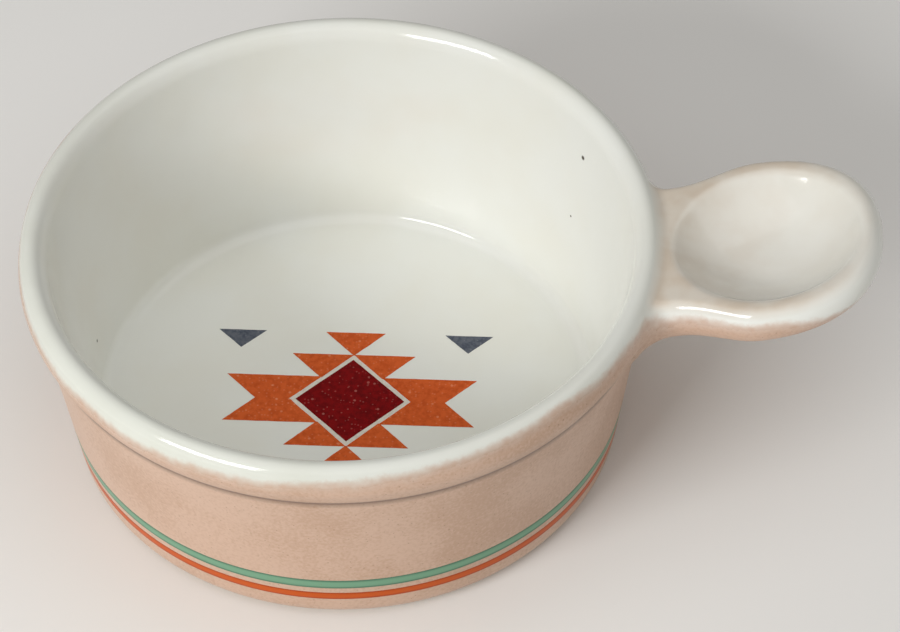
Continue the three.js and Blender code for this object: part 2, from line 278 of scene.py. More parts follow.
def face_outwards(mesh):
    edit = bmesh.new()
    edit.from_mesh(mesh)
    bmesh.ops.recalc_face_normals(edit, faces=edit.faces)
    edit.to_mesh(mesh)
    edit.free()


def grow(name, start, group, identifiers, values):
    """Runs a tree on a starting mesh and keeps what it makes as a plain mesh."""
    piece = new_object(name, start)
    modifier = piece.modifiers.new(group.name, "NODES")
    modifier.node_group = group
    for key, value in values.items():
        modifier[identifiers[key]] = value
    evaluated = piece.evaluated_get(bpy.context.evaluated_depsgraph_get())
    mesh = bpy.data.meshes.new_from_object(evaluated)
    piece.modifiers.remove(modifier)
    piece.data = mesh
    mesh.name = name
    face_outwards(mesh)
    return piece


def profile_mesh(name, points):
    """A row of points: each is (radius, height, numbers that ride on it), in millimetres."""
    mesh = bpy.data.meshes.new(name)
    mesh.from_pydata([(radius * MM, 0, height * MM) for radius, height, _ in points], [], [])
    for key in CARRIED:
        attribute = mesh.attributes.new(key, "FLOAT", "POINT")
        attribute.data.foreach_set("value", [numbers.get(key, 0.0) for _, _, numbers in points])
    return mesh


def turn(name, points, material, steps=288, waver=0.0, lean=0.0, seed=0.0):
    values = {
        "Steps round": steps, "Axis": (axis_x, 0, 0), "Waver": waver * MM,
        "Lean": lean, "Seed": seed, "Material": material,
    }
    return grow(name, profile_mesh(name, points), LATHE, LATHE_INPUTS, values)


def ride(piece, slot, *nodes):
    """The piece takes the place of construction nodes and stays with the one body that the bowl has."""
    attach(piece, "root")
    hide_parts(*nodes)
    print(f"{piece.name}: {len(piece.data.polygons)} faces")


# %% [markdown]
# ## Glaze over stoneware
#
# Bowl and handle share one finish, because they are glazed together. The clay carries a satin peach glaze
# with fine brown specks. Ivory gloss is poured over it inside and on top, and breaks off in a mottled
# line just past the crest of the rim. Where ivory ends isn't a matter of height alone, so each point of
# the mesh carries `cover`, its distance in millimetres from that line, and noise on it gives the line its
# wander. `crest` says where a painted shade greys the ivory on top of the rim, `thin` where the glaze lies
# so thin that the peach shows through and, in the thumb rest, where a painted shade greys the dish,
# `pool` where glaze gathers in the undercut and the crease's shade is painted in, and `bare` where the
# foot was wiped clean.

# %% Helpers for finishes
def srgb(red, green, blue):
    """A colour as it looks on a screen, 0 to 255, as the linear colour that a shader takes."""
    def linear(value):
        share = value / 255
        return share / 12.92 if share <= 0.04045 else ((share + 0.055) / 1.055) ** 2.4
    return (linear(red), linear(green), linear(blue), 1.0)


class Finish(Tree):
    """A material with one Principled shader."""

    def __init__(self, name, **constants):
        self.material = bpy.data.materials.new(name)
        self.material.use_nodes = True
        super().__init__(self.material.node_tree)
        self.tree.nodes.clear()
        shader = self.node("ShaderNodeBsdfPrincipled")
        self.shader = shader.socket.node
        self.node("ShaderNodeOutputMaterial", None, {"Surface": shader})
        for key, value in constants.items():
            self.shader.inputs[key.replace("_", " ")].default_value = value
        self.place = self.node("ShaderNodeTexCoord", None, None, "Object")

    def paint(self, name, value):
        self.feed(self.shader.inputs[name], value)

    def carried(self, name):
        return self.node("ShaderNodeAttribute", {"attribute_name": name}, None, "Fac")

    def step(self, value, low, high):
        """0 below low and 1 above high, with a soft rise between them."""
        settings = {"interpolation_type": "SMOOTHSTEP"}
        return self.node("ShaderNodeMapRange", settings, {0: value, 1: low, 2: high})

    def mix(self, share, first, second):
        inputs = {0: share, 6: first, 7: second}
        return self.node("ShaderNodeMix", {"data_type": "RGBA"}, inputs, 2)

    def noise(self, size, detail=2.0, place=None):
        """Blotches from 0 to 1, about size millimetres wide."""
        inputs = {"Vector": place or self.place, "Scale": 1 / (size * MM), "Detail": detail}
        return self.node("ShaderNodeTexNoise", None, inputs)

    def specks(self, spacing, radius, share):
        """Round dots of a radius, one in each chosen cell of a spacing, in millimetres."""
        cell = self.node("ShaderNodeTexVoronoi", None, {"Vector": self.place, "Scale": 1 / (spacing * MM)})
        draw = self.node("ShaderNodeSeparateColor", None, {0: cell.other("Color")}, "Red")
        reach = radius / spacing
        return (1 - self.step(cell, reach * 0.5, reach)) * (draw < share)

    def bump(self, height, depth):
        """Relief of a height from 0 to 1, depth millimetres deep."""
        inputs = {"Height": height, "Distance": depth * MM, "Strength": 1.0}
        self.paint("Normal", self.node("ShaderNodeBump", None, inputs))


# %% The glazed stoneware
IVORY = srgb(237, 238, 232)
IVORY_WARM = srgb(234, 233, 223)
# Peach showing through thin ivory; it also serves as a painted shade that greys the thumb rest's dish.
IVORY_THIN_AND_SHADE = srgb(208, 194, 176)
PEACH = srgb(208, 176, 154)
PEACH_DEEP = srgb(193, 158, 133)
PEACH_BREAK = srgb(194, 152, 125)
# Dark brown in the undercut: glaze gathered there, and the crease's painted shade.
POOLED_AND_SHADED = srgb(104, 78, 62)
IRON_SPECK = srgb(146, 110, 84)
BARE_CLAY = srgb(196, 170, 142)
SPOT_DARK = srgb(70, 58, 48)
# A greyer ivory, painted on top of the rim as shade.
IVORY_CREST_SHADE = srgb(213, 215, 204)
SPOTS = ((49.5, 33.6, 45.1, 0.7), (47.1, 32.1, 28.7, 0.35), (-54.4, 4.2, 14.4, 0.5))
LINE_WANDERS = ((13, 2.0, 2.4), (2.6, 3.0, 0.9), (0.8, 2.0, 0.9))
LINE_SPAN = (-2.1, 1.5)
BREAK_SIZE, BREAK_STRENGTH = 1.6, 0.9
CLOUD_SIZE = 22
GRAIN_SIZE = 0.7
SPECK_SPACING, SPECK_RADIUS = 0.9, 0.22
THIN_BLOTCH = 6
# How much of the rim's painted shade is left away from the front.
CREST_SHADE_BEHIND = 0.45
SATIN_ROUGHNESS, GLOSS_ROUGHNESS, BARE_ROUGHNESS = 0.36, 0.1, 0.8
PEEL_SIZE, PEEL_DEPTH = 6, 0.03
LINE_RISE = 0.9
LINE_RADIUS = 66.0
FRONT_SAG, FRONT_SAG_START, FRONT_SAG_DROP = -37, 25.0, 2.9
HANDLE_SAG, HANDLE_SAG_START, HANDLE_SAG_DROP = 95, 45.0, 2.2


def iron_spots(finish):
    """The few dark pinholes that the photograph shows: x, y, z from the bowl's axis, and radius."""
    marks = 0.0
    for x, y, z, radius in SPOTS:
        away = finish.node("ShaderNodeVectorMath", {"operation": "DISTANCE"}, {
            0: finish.place, 1: (axis_x + x * MM, y * MM, z * MM),
        }, "Value")
        marks = marks + (1 - finish.step(away, radius * 0.4 * MM, radius * MM))
    return marks


def sag(finish, azimuth, start):
    """0 up to a distance from the bowl's axis, measured towards an azimuth, and 1 at the rim there."""
    towards = direction(math.radians(azimuth), 0)
    side = finish.node("ShaderNodeVectorMath", {"operation": "DOT_PRODUCT"}, {
        0: finish.place, 1: towards,
    }, "Value") - towards.x * axis_x
    return finish.node("ShaderNodeMapRange", None, {0: side, 1: start * MM, 2: LINE_RADIUS * MM})


def line_wander(finish):
    """How far the ivory strays from its line: blotches of a size and detail, times a reach in millimetres."""
    wander = 0.0
    for size, detail, reach in LINE_WANDERS:
        wander = wander + (finish.noise(size, detail) - 0.5) * reach
    return wander


def glazed_stoneware():
    finish = Finish("glazed_stoneware", IOR=1.5)
    front_sag = sag(finish, FRONT_SAG, FRONT_SAG_START)
    handle_sag = sag(finish, HANDLE_SAG, HANDLE_SAG_START)
    hang = front_sag * FRONT_SAG_DROP + handle_sag * HANDLE_SAG_DROP - LINE_RISE
    ivory = finish.step(finish.carried("cover") + hang + line_wander(finish), *LINE_SPAN)
    edge = ivory * (1 - ivory) * 4
    cloud = finish.step(finish.noise(CLOUD_SIZE, 3.0), 0.35, 0.7)
    grain = finish.noise(GRAIN_SIZE, 3.0)
    peach = finish.mix(finish.step(grain * 0.75 + cloud * 0.25, 0.3, 0.7), PEACH, PEACH_DEEP)
    peach = finish.mix(finish.specks(SPECK_SPACING, SPECK_RADIUS, 0.18) * 0.55, peach, IRON_SPECK)
    # The crease under the roll is darkened, partly by gathered glaze and partly by painted shade.
    peach = finish.mix(finish.carried("pool") * 0.9, peach, POOLED_AND_SHADED)
    glaze = finish.mix(cloud * 0.6, IVORY, IVORY_WARM)
    # Painted shade: the ivory on top of the rim is greyed, in full towards the front and less behind.
    crest_shade = finish.carried("crest") * (CREST_SHADE_BEHIND + front_sag * (1 - CREST_SHADE_BEHIND))
    crest_shade = crest_shade * (0.75 + cloud * 0.25)
    glaze = finish.mix(crest_shade, glaze, IVORY_CREST_SHADE)
    blotch = finish.step(finish.noise(THIN_BLOTCH), 0.3, 0.7)
    # Thin glaze shows the peach; in the thumb rest's dish the same mix is also painted shade.
    thin_and_shade = finish.carried("thin") * (0.7 + 0.3 * blotch)
    glaze = finish.mix(thin_and_shade, glaze, IVORY_THIN_AND_SHADE)
    glaze = finish.mix(iron_spots(finish), glaze, SPOT_DARK)
    colour = finish.mix(ivory, peach, glaze)
    colour = finish.mix(edge * finish.noise(BREAK_SIZE) * BREAK_STRENGTH, colour, PEACH_BREAK)
    bare = finish.step(finish.carried("bare") + (grain - 0.5) * 0.4, 0.4, 0.6)
    finish.paint("Base Color", finish.mix(bare, colour, BARE_CLAY))
    satin = SATIN_ROUGHNESS + (grain - 0.5) * 0.14
    gloss = GLOSS_ROUGHNESS + cloud * 0.03
    glazed = satin + (gloss - satin) * ivory
    finish.paint("Roughness", glazed * (1 - bare) + bare * BARE_ROUGHNESS)
    peel = finish.noise(PEEL_SIZE, 1.0)
    finish.bump(peel * 0.8 + grain * (1 - ivory) * 0.3, PEEL_DEPTH)
    return finish.material


STONEWARE = glazed_stoneware()
print(f"glazed stoneware has {len(STONEWARE.node_tree.nodes)} nodes")

# %% [markdown]
# ## Bowl
#
# The profile is drawn once round in millimetres: from the middle of the floor up the inside, over the
# rolled rim, down the wall and under the foot. The rim is an ellipse, the wall a straight taper, and the
# other corners are arcs. Ivory glaze adds a quarter of a millimetre inside and runs out to nothing where
# it breaks.

# %% Sizes of the bowl, in millimetres
RIM_RADIUS = (bowl_high.y - bowl_low.y) / 2 / MM
RIM_HEIGHT = 55.1
ROLL_HALF_WIDTH = 3.0
ROLL_RISE = 5.2
ROLL_TURN = 5.0
ROLL_LEAN = math.radians(26)
UNDERCUT = 1.95
CREASE_ROUNDING = 0.35
POOL_AND_SHADE_REACH = 0.55
WALL_FLARE = 0.9
WALL_FLARE_REACH = 20.0
BASE_RADIUS = RIM_RADIUS - 8.8
HEEL_RADIUS = 5.5
FOOT_WIDTH = 4.0
FOOT_RECESS = 1.2
FOOT_EDGE = 0.5
GLAZE = 0.25
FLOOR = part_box("liner_glaze")[0].z / MM + GLAZE
WALL_AT_FLOOR = 5.6
FLOOR_FILLET = 3.2
BREAK_ANGLE = math.radians(36)
GLAZE_TAPER = math.radians(9)
FAR_FROM_BREAK = 20.0
CREST_SPAN = (math.radians(85), math.radians(150))

ROLL_RADIUS = RIM_RADIUS - ROLL_HALF_WIDTH
ROLL_HEIGHT = RIM_HEIGHT - ROLL_RISE
ROLL_MEAN = math.hypot(ROLL_HALF_WIDTH, ROLL_RISE) / math.sqrt(2)
TURN_RADIUS = RIM_RADIUS - ROLL_TURN
TURN_END = (TURN_RADIUS + ROLL_TURN * math.cos(ROLL_LEAN), ROLL_HEIGHT - ROLL_TURN * math.sin(ROLL_LEAN))
CREASE_RADIUS = RIM_RADIUS - UNDERCUT
CREASE_HEIGHT = TURN_END[1] - (TURN_END[0] - CREASE_RADIUS) / math.tan(ROLL_LEAN)
LEAN = (CREASE_RADIUS - WALL_FLARE - BASE_RADIUS) / CREASE_HEIGHT


def wall_radius(height):
    """The outside of the wall: a straight taper that sweeps out a little towards the roll."""
    sweep = np.maximum(0, 1 - (CREASE_HEIGHT - height) / WALL_FLARE_REACH)
    return BASE_RADIUS + height * LEAN + WALL_FLARE * sweep * sweep


def glaze_skin(angle):
    """Thickness of the ivory glaze at an angle on the roll: it runs out over a short taper."""
    share = np.clip((angle - BREAK_ANGLE + GLAZE_TAPER) / (2 * GLAZE_TAPER), 0, 1)
    return GLAZE * share * share * (3 - 2 * share)


def roll_cover(angle):
    """Distance on the roll from the line where the ivory breaks off."""
    return (angle - BREAK_ANGLE) * ROLL_MEAN


def crest_share(angle):
    """1 on top of the roll and outside it, and 0 where the inside wall begins."""
    share = np.clip((CREST_SPAN[1] - angle) / (CREST_SPAN[1] - CREST_SPAN[0]), 0, 1)
    return share * share * (3 - 2 * share)


print(f"the wall leans by {math.degrees(math.atan(LEAN)):.1f} degrees")

# %% Profile of the bowl
def arc(center, radius, start, end, steps):
    angles = np.linspace(start, end, steps + 1)
    return [(center[0] + radius * math.cos(a), center[1] + radius * math.sin(a)) for a in angles]


def line(start, end, steps):
    """Points between two others, without either of them."""
    shares = np.linspace(0, 1, steps + 1)[1:-1]
    return [(start[0] + (end[0] - start[0]) * s, start[1] + (end[1] - start[1]) * s) for s in shares]


def roll_point(angle):
    skin = glaze_skin(angle)
    return (
        ROLL_RADIUS + (ROLL_HALF_WIDTH + skin) * math.cos(angle),
        ROLL_HEIGHT + (ROLL_RISE + skin) * math.sin(angle),
    )


def inside_points():
    """Floor, fillet and inside wall, and the angle at which the wall runs into the roll."""
    corner = (wall_radius(FLOOR - GLAZE) - WALL_AT_FLOOR - GLAZE, FLOOR)
    towards = (
        (corner[0] - ROLL_RADIUS) / (ROLL_HALF_WIDTH + GLAZE),
        (corner[1] - ROLL_HEIGHT) / (ROLL_RISE + GLAZE),
    )
    inner = math.tau + math.atan2(towards[1], towards[0]) - math.acos(1 / math.hypot(*towards))
    top = roll_point(inner)
    lean = math.atan2(top[0] - corner[0], top[1] - corner[1])
    center_radius = corner[0] + FLOOR_FILLET * math.tan(lean) - FLOOR_FILLET / math.cos(lean)
    center = (center_radius, FLOOR + FLOOR_FILLET)
    fillet = arc(center, FLOOR_FILLET, -math.pi / 2, -lean, 12)
    middle = (0.0, FLOOR)
    return [middle, *line(middle, fillet[0], 6), *fillet, *line(fillet[-1], top, 10)], inner


def crease_points():
    """The underside of the roll, and a tight rounding into the wall."""
    turn_center = (TURN_RADIUS, ROLL_HEIGHT)
    under = arc(turn_center, ROLL_TURN, 0, -ROLL_LEAN, 12)
    start = (
        CREASE_RADIUS + CREASE_ROUNDING * math.sin(ROLL_LEAN),
        CREASE_HEIGHT + CREASE_ROUNDING * math.cos(ROLL_LEAN),
    )
    corner = (CREASE_RADIUS, CREASE_HEIGHT)
    end = (wall_radius(CREASE_HEIGHT - CREASE_ROUNDING), CREASE_HEIGHT - CREASE_ROUNDING)
    shares = np.linspace(0, 1, 7)
    weights = [((1 - s) ** 2, 2 * s * (1 - s), s * s) for s in shares]
    crease = [tuple(a * p + b * q + c * r for p, q, r in zip(start, corner, end)) for a, b, c in weights]
    return under[1:], line(under[-1], start, 6), crease


def foot_points():
    """Heel, dry foot ring and the hollow of the base."""
    lean = math.atan(LEAN)
    heel = (wall_radius(HEEL_RADIUS) - HEEL_RADIUS / math.cos(lean), HEEL_RADIUS)
    inside = heel[0] - FOOT_WIDTH
    rounding = arc((inside + FOOT_EDGE, FOOT_EDGE), FOOT_EDGE, -math.pi / 2, -math.pi * 3 / 4, 3)
    hollow = (inside - FOOT_RECESS, FOOT_RECESS)
    middle = (0.0, FOOT_RECESS)
    bend = arc(heel, HEEL_RADIUS, -lean, -math.pi / 2, 14)
    return [*bend, *rounding, hollow, *line(hollow, middle, 6), middle]


def wall_points(top, bottom):
    heights = np.linspace(top, bottom, 24)[1:-1]
    return [(wall_radius(height), height) for height in heights]


def crease_pool_and_shade(height):
    """1 in the crease, where glaze gathers and its shade is painted in, and 0 at a little distance from it.
    """
    return np.exp(-((height - CREASE_HEIGHT) / POOL_AND_SHADE_REACH) ** 2)


def bowl_profile():
    inside, inner_angle = inside_points()
    points = [(r, z, {"cover": FAR_FROM_BREAK}) for r, z in inside]
    for angle in np.linspace(inner_angle, 0, 44):
        points.append((*roll_point(angle), {"cover": roll_cover(angle), "crest": crest_share(angle)}))
    under, taper, crease = crease_points()
    foot = foot_points()
    wall = wall_points(crease[-1][1], foot[0][1])
    for r, z in [*under, *taper, *crease, *wall]:
        numbers = {"cover": roll_cover(0) + z - ROLL_HEIGHT, "crest": 1.0, "pool": crease_pool_and_shade(z)}
        points.append((r, z, numbers))
    points += [(r, z, {"cover": -FAR_FROM_BREAK, "bare": float(z < FOOT_RECESS)}) for r, z in foot]
    return points


bowl = turn("bowl", bowl_profile(), STONEWARE)
ride(bowl, "stoneware", "bowl_body", "liner_glaze")

# %% [markdown]
# ## Handle
#
# The handle is a lug with a dished thumb rest, and a potter's finger has smoothed the slip where it meets
# the rim. Such a join is hard to model with faces, and easy with distances: one function says how far a
# point lies outside the lug, another how far outside the bowl, and a soft minimum of the two is the lug
# with a fillet against the rim. The zero surface of that function is then covered with small faces, and
# every corner is pulled exactly onto it.

# %% Sizes of the handle, in millimetres
HANDLE_TILT = math.radians(11)
HANDLE_TOP = RIM_HEIGHT - 1.4
LOBE_CENTER = 19.7
LOBE_LENGTH = 25.1
LOBE_HALF_WIDTH = 23.2
LOBE_POWER = 2.3
NECK_POSITION = 1.0
NECK_HALF_WIDTH = LOBE_HALF_WIDTH - 4.7
FLARE_RADIUS = 14.0
FLARE_REACH = 8.0
ROOT_THICKNESS = 10.4
TIP_THICKNESS = 7.4
EDGE_ROUNDING = 3.0
EDGE_MEAN = 3.8
DISH_DEPTH = 8.0
DISH_POWER = 2.6
DISH_SPAN = (1.7, 41.2)
DISH_HALF_WIDTH = 18.6
BELLY_SPAN = (-4.0, 41.2)
BELLY_HALF_WIDTH = 14.7
BELLY_DEPTH = 3.85
LIP_ROUNDING = 0.9
# The dish greys from neck to tip: thin glaze towards the neck, and painted shade all over it.
DISH_THIN_AND_SHADE_SPAN = (4.0, 28.0)
DISH_THIN_AND_SHADE_AT_NECK, DISH_SHADE_AT_TIP = 0.7, 0.25
LIP_START, LIP_FADE = 0.9, 0.14
SHOULDER_START, SHOULDER_FADE = math.radians(35), math.radians(40)
LIP_NEAR_RIM = 1.5
LIP_LOST_AT_TIP = 0.6
HANDLE_BREAK = math.radians(36)
TIP_DIP = math.radians(60)
TIP_DIP_SPAN = (22.0, 43.0)
JOIN_ROUNDING = 5.0
CREST_ROUNDING = 1.8
SINK = 0.012
ROOT_SINK = 0.2
ROOT_DEPTH = 1.6
ROOT_REACH = 7.0
CREASE_FILL = 3.0
CREASE_FILL_REACH = 3.0


def soft_min(first, second, width):
    """The lesser of two distances, rounded where they are alike."""
    near = np.clip(1 - np.abs(first - second) / width, 0, 1)
    return np.minimum(first, second) - near * near * width / 4


def soft_max(first, second, width):
    return -soft_min(-first, -second, width)


def oval_share(along, across, span, half_width):
    """0 in the middle of an oval and 1 on its edge."""
    middle, half_length = (span[0] + span[1]) / 2, (span[1] - span[0]) / 2
    return np.hypot((along - middle) / half_length, across / half_width)


def edge_thickness(along):
    """Thickness of the handle along its rounded edge, which tapers from the rim to the tip."""
    return ROOT_THICKNESS + (TIP_THICKNESS - ROOT_THICKNESS) * along / (LOBE_CENTER + LOBE_LENGTH)


def half_width(along):
    """Half the width of the handle seen from above: flared root, waist at the neck, full round lobe."""
    inward = np.clip(NECK_POSITION - along, 0, FLARE_REACH)
    flare = NECK_HALF_WIDTH + FLARE_RADIUS - np.sqrt(FLARE_RADIUS ** 2 - inward ** 2)
    share = np.clip((along - NECK_POSITION) / (LOBE_CENTER - NECK_POSITION), 0, 1)
    waist = NECK_HALF_WIDTH + (LOBE_HALF_WIDTH - NECK_HALF_WIDTH) * (0.5 - 0.5 * np.cos(math.pi * share))
    return np.where(along < NECK_POSITION, flare, waist)


def outline_distance(along, across):
    """Distance outside the handle's outline, seen from above."""
    nudge = 0.01
    slope = (half_width(along + nudge) - half_width(along - nudge)) / (2 * nudge)
    side = (np.abs(across) - half_width(along)) / np.hypot(1, slope)
    out = np.maximum(along - LOBE_CENTER, 0) / LOBE_LENGTH
    wide = np.abs(across) / LOBE_HALF_WIDTH
    tip = (out ** LOBE_POWER + wide ** LOBE_POWER) ** (1 / LOBE_POWER)
    return np.where(along > LOBE_CENTER, (tip - 1) * LOBE_HALF_WIDTH, side)


print(f"the handle reaches {LOBE_CENTER + LOBE_LENGTH:.1f} mm out from the rim")

# %% Distances to lug and bowl
class Clay:
    """Distances to lug and bowl, and what glaze and painted shade do there, for points from the bowl's axis.
    """

    def __init__(self, points):
        x, y, z = points.T
        outward, upward = x - RIM_RADIUS, z - HANDLE_TOP
        along = outward * math.cos(HANDLE_TILT) + upward * math.sin(HANDLE_TILT)
        height = upward * math.cos(HANDLE_TILT) - outward * math.sin(HANDLE_TILT)
        self.along = along
        self.measure_lug(along, y, height)
        self.measure_bowl(np.hypot(x, y), z)
        self.join()

    def measure_lug(self, along, across, height):
        belly = np.clip(1 - oval_share(along, across, BELLY_SPAN, BELLY_HALF_WIDTH) ** 2, 0, 1) ** 2
        edge_half = edge_thickness(along) / 2
        middle = height + edge_half
        half = edge_half + np.where(middle < 0, BELLY_DEPTH * belly, 0)
        run = np.maximum(outline_distance(along, across) + EDGE_ROUNDING, 0) / EDGE_ROUNDING
        rise = middle / half
        reach = np.maximum(np.hypot(run, rise), 1e-6)
        steepness = np.hypot(run / EDGE_ROUNDING, rise / half) / reach
        body = (reach - 1) / np.maximum(steepness, 1 / half)
        self.share = oval_share(along, across, DISH_SPAN, DISH_HALF_WIDTH)
        slope = DISH_DEPTH * DISH_POWER * self.share ** (DISH_POWER - 1) / DISH_HALF_WIDTH
        dish = (height + DISH_DEPTH * (1 - self.share ** DISH_POWER)) / np.hypot(1, slope)
        self.lug = soft_max(body, dish, LIP_ROUNDING)
        self.away = np.clip(self.lug / ROOT_REACH, 0, 1)
        self.in_dish = dish > body
        self.edge_angle = np.arctan2(rise, run)
        tip = np.clip((along - TIP_DIP_SPAN[0]) / (TIP_DIP_SPAN[1] - TIP_DIP_SPAN[0]), 0, 1)
        self.tip = tip * tip * (3 - 2 * tip)
        self.edge_break = HANDLE_BREAK - TIP_DIP * self.tip

    def measure_bowl(self, radius, z):
        out, up = radius - ROLL_RADIUS, z - ROLL_HEIGHT
        self.roll_angle = np.arctan2(up / ROLL_RISE, out / ROLL_HALF_WIDTH)
        skin = glaze_skin(self.roll_angle)
        wide, deep = ROLL_HALF_WIDTH + skin, ROLL_RISE + skin
        reach = np.maximum(np.hypot(out / wide, up / deep), 1e-6)
        steepness = np.hypot(out / wide ** 2, up / deep ** 2) / reach
        crest = (reach - 1) / np.maximum(steepness, 1 / deep)
        turn = np.hypot(radius - TURN_RADIUS, up) - ROLL_TURN
        taper = (radius - TURN_END[0]) * math.cos(ROLL_LEAN) - (z - TURN_END[1]) * math.sin(ROLL_LEAN)
        under = np.where(z > TURN_END[1], turn, taper)
        wall = (radius - wall_radius(z)) / math.hypot(1, LEAN)
        near_crease = np.clip(1 - np.abs(z - CREASE_HEIGHT) / CREASE_FILL_REACH, 0, 1)
        fill = CREASE_FILL * near_crease * (1 - self.away) + CLOSE_TOGETHER
        self.bowl = np.where(up > 0, crest, soft_min(under, wall, fill))
        self.inward = -out - np.maximum(CREASE_HEIGHT - z, 0)
        self.crease_pool_and_shade = crease_pool_and_shade(z)
        climb = np.clip(up / ROLL_RISE, 0, 1)
        self.rounding = JOIN_ROUNDING + (CREST_ROUNDING - JOIN_ROUNDING) * climb

    def join(self):
        sunk = self.bowl + SINK + (ROOT_SINK - SINK) * self.away ** 3
        joined = soft_min(self.lug, sunk, self.rounding)
        root = np.maximum(np.maximum(-self.bowl - ROOT_DEPTH, self.inward), self.lug - ROOT_REACH)
        self.outside = np.maximum(joined, root)
        self.at_rim = np.clip(0.5 + 0.5 * (self.lug - self.bowl) / self.rounding, 0, 1)

    def cover(self):
        edge = (self.edge_angle - self.edge_break) * EDGE_MEAN
        lug = np.where(self.in_dish, FAR_FROM_BREAK, edge)
        return lug + (roll_cover(self.roll_angle) - lug) * self.at_rim

    def thin(self):
        top = np.clip((self.share - LIP_START) / LIP_FADE, 0, 1)
        shoulder = np.clip((self.edge_angle - SHOULDER_START) / SHOULDER_FADE, 0, 1)
        off_rim = np.clip(LIP_NEAR_RIM * (1 - self.at_rim), 0, 1)
        lip = top * shoulder * off_rim * (1 - LIP_LOST_AT_TIP * self.tip)
        # In the dish: thin glaze near the neck, and a painted shade over the whole dish.
        dish = self.in_dish * np.interp(self.along, DISH_THIN_AND_SHADE_SPAN, (DISH_THIN_AND_SHADE_AT_NECK, DISH_SHADE_AT_TIP))
        return np.maximum(lip, dish)

    # Where the painted shade on top of the rim runs onto the handle's join.
    def crest(self):
        return crest_share(self.roll_angle) * self.at_rim

    # Gathered glaze and painted shade in the crease, fading out where the handle's fillet fills it.
    def pool(self):
        return self.crease_pool_and_shade * self.away ** 2


def outside(points):
    return Clay(points).outside


print("distances to lug and bowl are ready")

# %% Cover the zero surface with faces
NET_STEP = 0.5
NET_MARGIN = 12.0
NET_FILL = 0.05
PULL_ROUNDS = 4


def corner_offsets():
    return [np.array((i, j, k)) for i in (0, 1) for j in (0, 1) for k in (0, 1)]


def shifted(values, offset):
    """The values at one corner of every cell of a grid."""
    return values[tuple(slice(o, s - 1 + o) for o, s in zip(offset, values.shape))]


def uncrossed(values):
    """Fills a corner of each grid face whose signs cross, where the net would meet itself along an edge."""
    values = values.copy()
    found = True
    while found:
        found = False
        for plane in ((0, 1), (1, 2), (2, 0)):
            grid = np.moveaxis(values, plane, (0, 1))
            clay = grid < 0
            near, beside = clay[:-1, :-1], clay[1:, :-1]
            crossed = (near == clay[1:, 1:]) & (beside == clay[:-1, 1:]) & (near != beside)
            grid[:-1, :-1][crossed & beside] = -NET_FILL
            grid[1:, :-1][crossed & near] = -NET_FILL
            found = found or crossed.any()
    return values


def surface_net(values):
    """One corner for each cell that the zero surface crosses, and a face for each such edge of the grid."""
    offsets = corner_offsets()
    crossings = np.zeros((*(s - 1 for s in values.shape), 3))
    count = np.zeros(crossings.shape[:3])
    for first in offsets:
        for axis in np.eye(3, dtype=int)[first == 0]:
            a, b = shifted(values, first), shifted(values, first + axis)
            crossed = (a < 0) != (b < 0)
            share = np.where(crossed, a / np.where(crossed, a - b, 1), 0)
            crossings += crossed[..., None] * (first + share[..., None] * axis)
            count += crossed
    mixed = count > 0
    numbers = np.full(mixed.shape, -1)
    numbers[mixed] = np.arange(mixed.sum())
    corners = np.argwhere(mixed) + crossings[mixed] / count[mixed][:, None]
    faces = []
    for axis in range(3):
        u, v = np.eye(3, dtype=int)[[(axis + 1) % 3, (axis + 2) % 3]]
        step = np.eye(3, dtype=int)[axis]
        ends = tuple(slice(0, s - o) for s, o in zip(values.shape, step))
        starts = tuple(slice(o, s) for s, o in zip(values.shape, step))
        low, high = values[ends] < 0, values[starts] < 0
        for place in np.argwhere(low != high):
            quad = [numbers[tuple(place - d)] for d in (u + v, v, 0 * u, u)]
            faces.append(quad if low[tuple(place)] else quad[::-1])
    return corners, faces


def pull_to_surface(points):
    """Moves points along the slope of the distance until they lie on the zero surface."""
    nudge = 0.02
    for _ in range(PULL_ROUNDS):
        slope = np.stack([
            (outside(points + step) - outside(points - step)) / (2 * nudge) for step in np.eye(3) * nudge
        ], axis=1)
        steep = np.maximum((slope ** 2).sum(axis=1), 0.1)
        move = -(outside(points) / steep)[:, None] * slope
        points = points + np.clip(move, -NET_STEP, NET_STEP)
    return points


def make_handle():
    low, high = (np.array(corner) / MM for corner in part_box("handle"))
    low, high = low - NET_MARGIN, high + NET_MARGIN
    counts = np.ceil((high - low) / NET_STEP).astype(int)
    grid = np.stack(np.meshgrid(*(np.arange(n) for n in counts), indexing="ij"), axis=-1)
    to_axis = low - np.array((axis_x / MM, 0, 0))
    points = grid.reshape(-1, 3) * NET_STEP + to_axis
    corners, faces = surface_net(uncrossed(outside(points).reshape(counts)))
    corners = pull_to_surface(corners * NET_STEP + to_axis)
    mesh = bpy.data.meshes.new("handle_lug")
    mesh.from_pydata((corners * MM + np.array((axis_x, 0, 0))).tolist(), [], faces)
    clay = Clay(corners)
    carried = {"cover": clay.cover(), "thin": clay.thin(), "crest": clay.crest(), "pool": clay.pool()}
    for name, values in carried.items():
        mesh.attributes.new(name, "FLOAT", "POINT").data.foreach_set("value", values.astype(np.float32))
    mesh.shade_smooth()
    mesh.materials.append(STONEWARE)
    face_outwards(mesh)
    return new_object("handle_lug", mesh)


handle = make_handle()
ride(handle, "stoneware", "handle", "thumb_rest_glaze")

# %% [markdown]
# ## Banded lines
#
# A potter holds a loaded brush against the turning bowl. The colour gathers at both edges of the stroke
# and is thinner in the middle, with fine streaks that run round the wall. Each line is a film with
# feathered edges, so it catches no hard shadow, and it wavers a little, as a hand does.

# %% Finish of a banded line
STREAK_LENGTH = 14.0
STREAK_WIDTH = 0.5


